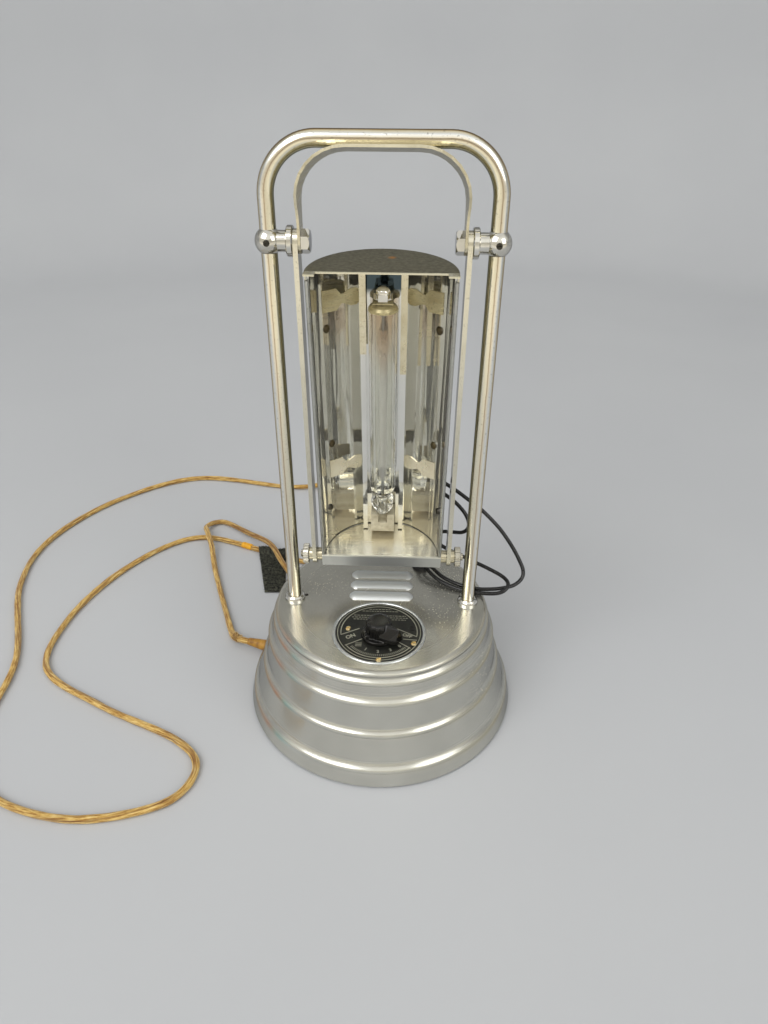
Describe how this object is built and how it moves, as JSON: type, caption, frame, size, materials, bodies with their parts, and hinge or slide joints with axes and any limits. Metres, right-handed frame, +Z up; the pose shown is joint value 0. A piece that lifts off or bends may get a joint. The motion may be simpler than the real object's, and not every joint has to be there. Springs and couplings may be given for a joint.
{
  "type": "ultraviolet_lamp",
  "caption": "Table-top ultraviolet therapy lamp: stepped spun base, tube loop, friction yoke, mirror-lined head with quartz burner, dial switch, braided cord",
  "frame": {"origin": "on the floor under the centre of the base, at the middle of its foot", "axes": "+Z up along the loop, -Y the front that the head faces, +X to the right seen from the front"},
  "size_m": [0.5246, 0.5249, 0.4402],
  "materials": {
    "spun_aluminium": "spun and lightly polished, circular brushing, brighter beads",
    "loop_nickel": "satin drawn tube",
    "bright_fittings": "plated, bright",
    "yoke_metal": "satin strip, warm",
    "head_metal": "satin sheet, dulled on top",
    "mirror_liner": "mirror-polished sheet",
    "bracket_metal": "warm satin sheet",
    "quartz": "clear fused quartz, amber towards the top",
    "ceramic_white": "unglazed steatite",
    "brass": "worn bright brass",
    "black_bakelite": "moulded phenolic, glossy",
    "dial_enamel": "etched plate, black with silver lines",
    "black_rubber": "smooth, slightly glossy",
    "brown_rubber": "aged amber-brown rubber sleeve",
    "cotton_braid": "tan cotton braid, worn",
    "strap_fabric": "black napped strap",
    "marker_tape": "yellow tape",
    "inner_steel": "plain sheet and fasteners",
    "core_steel": "varnished laminations",
    "winding_varnish": "varnished coil wrap"
  },
  "bodies": {
    "base": {"base_shell": "spun_aluminium", "base_plate": "inner_steel", "rubber_feet": "black_rubber", "base_plate_screws": "inner_steel", "transformer_core": "core_steel", "transformer_winding": "winding_varnish", "transformer_bracket": "inner_steel", "transformer_screws": "inner_steel", "terminal_strip": "black_bakelite", "switch_body": "black_bakelite", "switch_nut": "brass", "dial_plate": "dial_enamel", "dial_screws": "brass", "lead_bush": "black_rubber", "cord_gland": "black_rubber", "strain_relief": "brown_rubber", "loop_tube": "loop_nickel", "foot_collars": "bright_fittings", "tube_lock_nuts": "inner_steel", "ball_clamp_left": "bright_fittings", "ball_clamp_right": "bright_fittings", "clamp_set_screws": "inner_steel", "pivot_bolts": "bright_fittings", "lead_a": "black_rubber", "lead_b": "black_rubber", "mains_cord": "cotton_braid", "cord_marker": "marker_tape", "cord_strap": "strap_fabric", "plug_body": "black_bakelite", "plug_pins": "brass"},
    "knob": {"switch_knob": "black_bakelite", "switch_spindle": "brass"},
    "strap": {"top_strap": "yoke_metal"},
    "yoke": {"arm_left": "yoke_metal", "arm_right": "yoke_metal", "arm_washers": "yoke_metal"},
    "head": {"pivot_studs": "yoke_metal", "inner_bushes": "yoke_metal", "head_shell": "head_metal", "head_cap": "head_metal", "bottom_plate": "bracket_metal", "reflector_left": "mirror_liner", "reflector_right": "mirror_liner", "rear_channel": "bracket_metal", "hanger_strips": "bracket_metal", "upper_brackets": "bracket_metal", "lower_brackets": "bracket_metal", "reflector_rivets": "brass", "liner_screws": "inner_steel", "burner_block": "ceramic_white", "burner_hanger": "bracket_metal", "acorn_nut": "bright_fittings", "burner_collar": "bracket_metal", "quartz_envelope": "quartz", "arc_tube": "quartz", "upper_electrode": "inner_steel", "lower_electrode": "inner_steel", "lead_terminals": "ceramic_white"},
    "thumb_left": {"thumb_nut_left": "yoke_metal"},
    "thumb_right": {"thumb_nut_right": "yoke_metal"}
  },
  "joints": [
    {"name": "yoke_swing", "type": "hinge", "parent": "base", "child": "yoke", "pos_m": [0, 0, 0.3775], "axis": [-1, 0, 0], "range_deg": [-35, 45], "deforming": ["lead_a", "lead_b"]},
    {"name": "strap_swing", "type": "hinge", "parent": "base", "child": "strap", "pos_m": [0, 0, 0.3775], "axis": [1, 0, 0], "range_deg": [0, 45]},
    {"name": "head_tilt", "type": "hinge", "parent": "yoke", "child": "head", "pos_m": [0, 0.011, 0.13155], "axis": [1, 0, 0], "range_deg": [-45, 75]},
    {"name": "knob_turn", "type": "hinge", "parent": "base", "child": "knob", "pos_m": [0, -0.046, 0.1], "axis": [0, 0, 1], "range_deg": [-120, 0]},
    {"name": "thumb_nut_left_turn", "type": "hinge", "parent": "head", "child": "thumb_left", "pos_m": [-0.062, 0.011, 0.13155], "axis": [-1, 0, 0], "continuous": true},
    {"name": "thumb_nut_right_turn", "type": "hinge", "parent": "head", "child": "thumb_right", "pos_m": [0.062, 0.011, 0.13155], "axis": [1, 0, 0], "continuous": true}
  ]
}
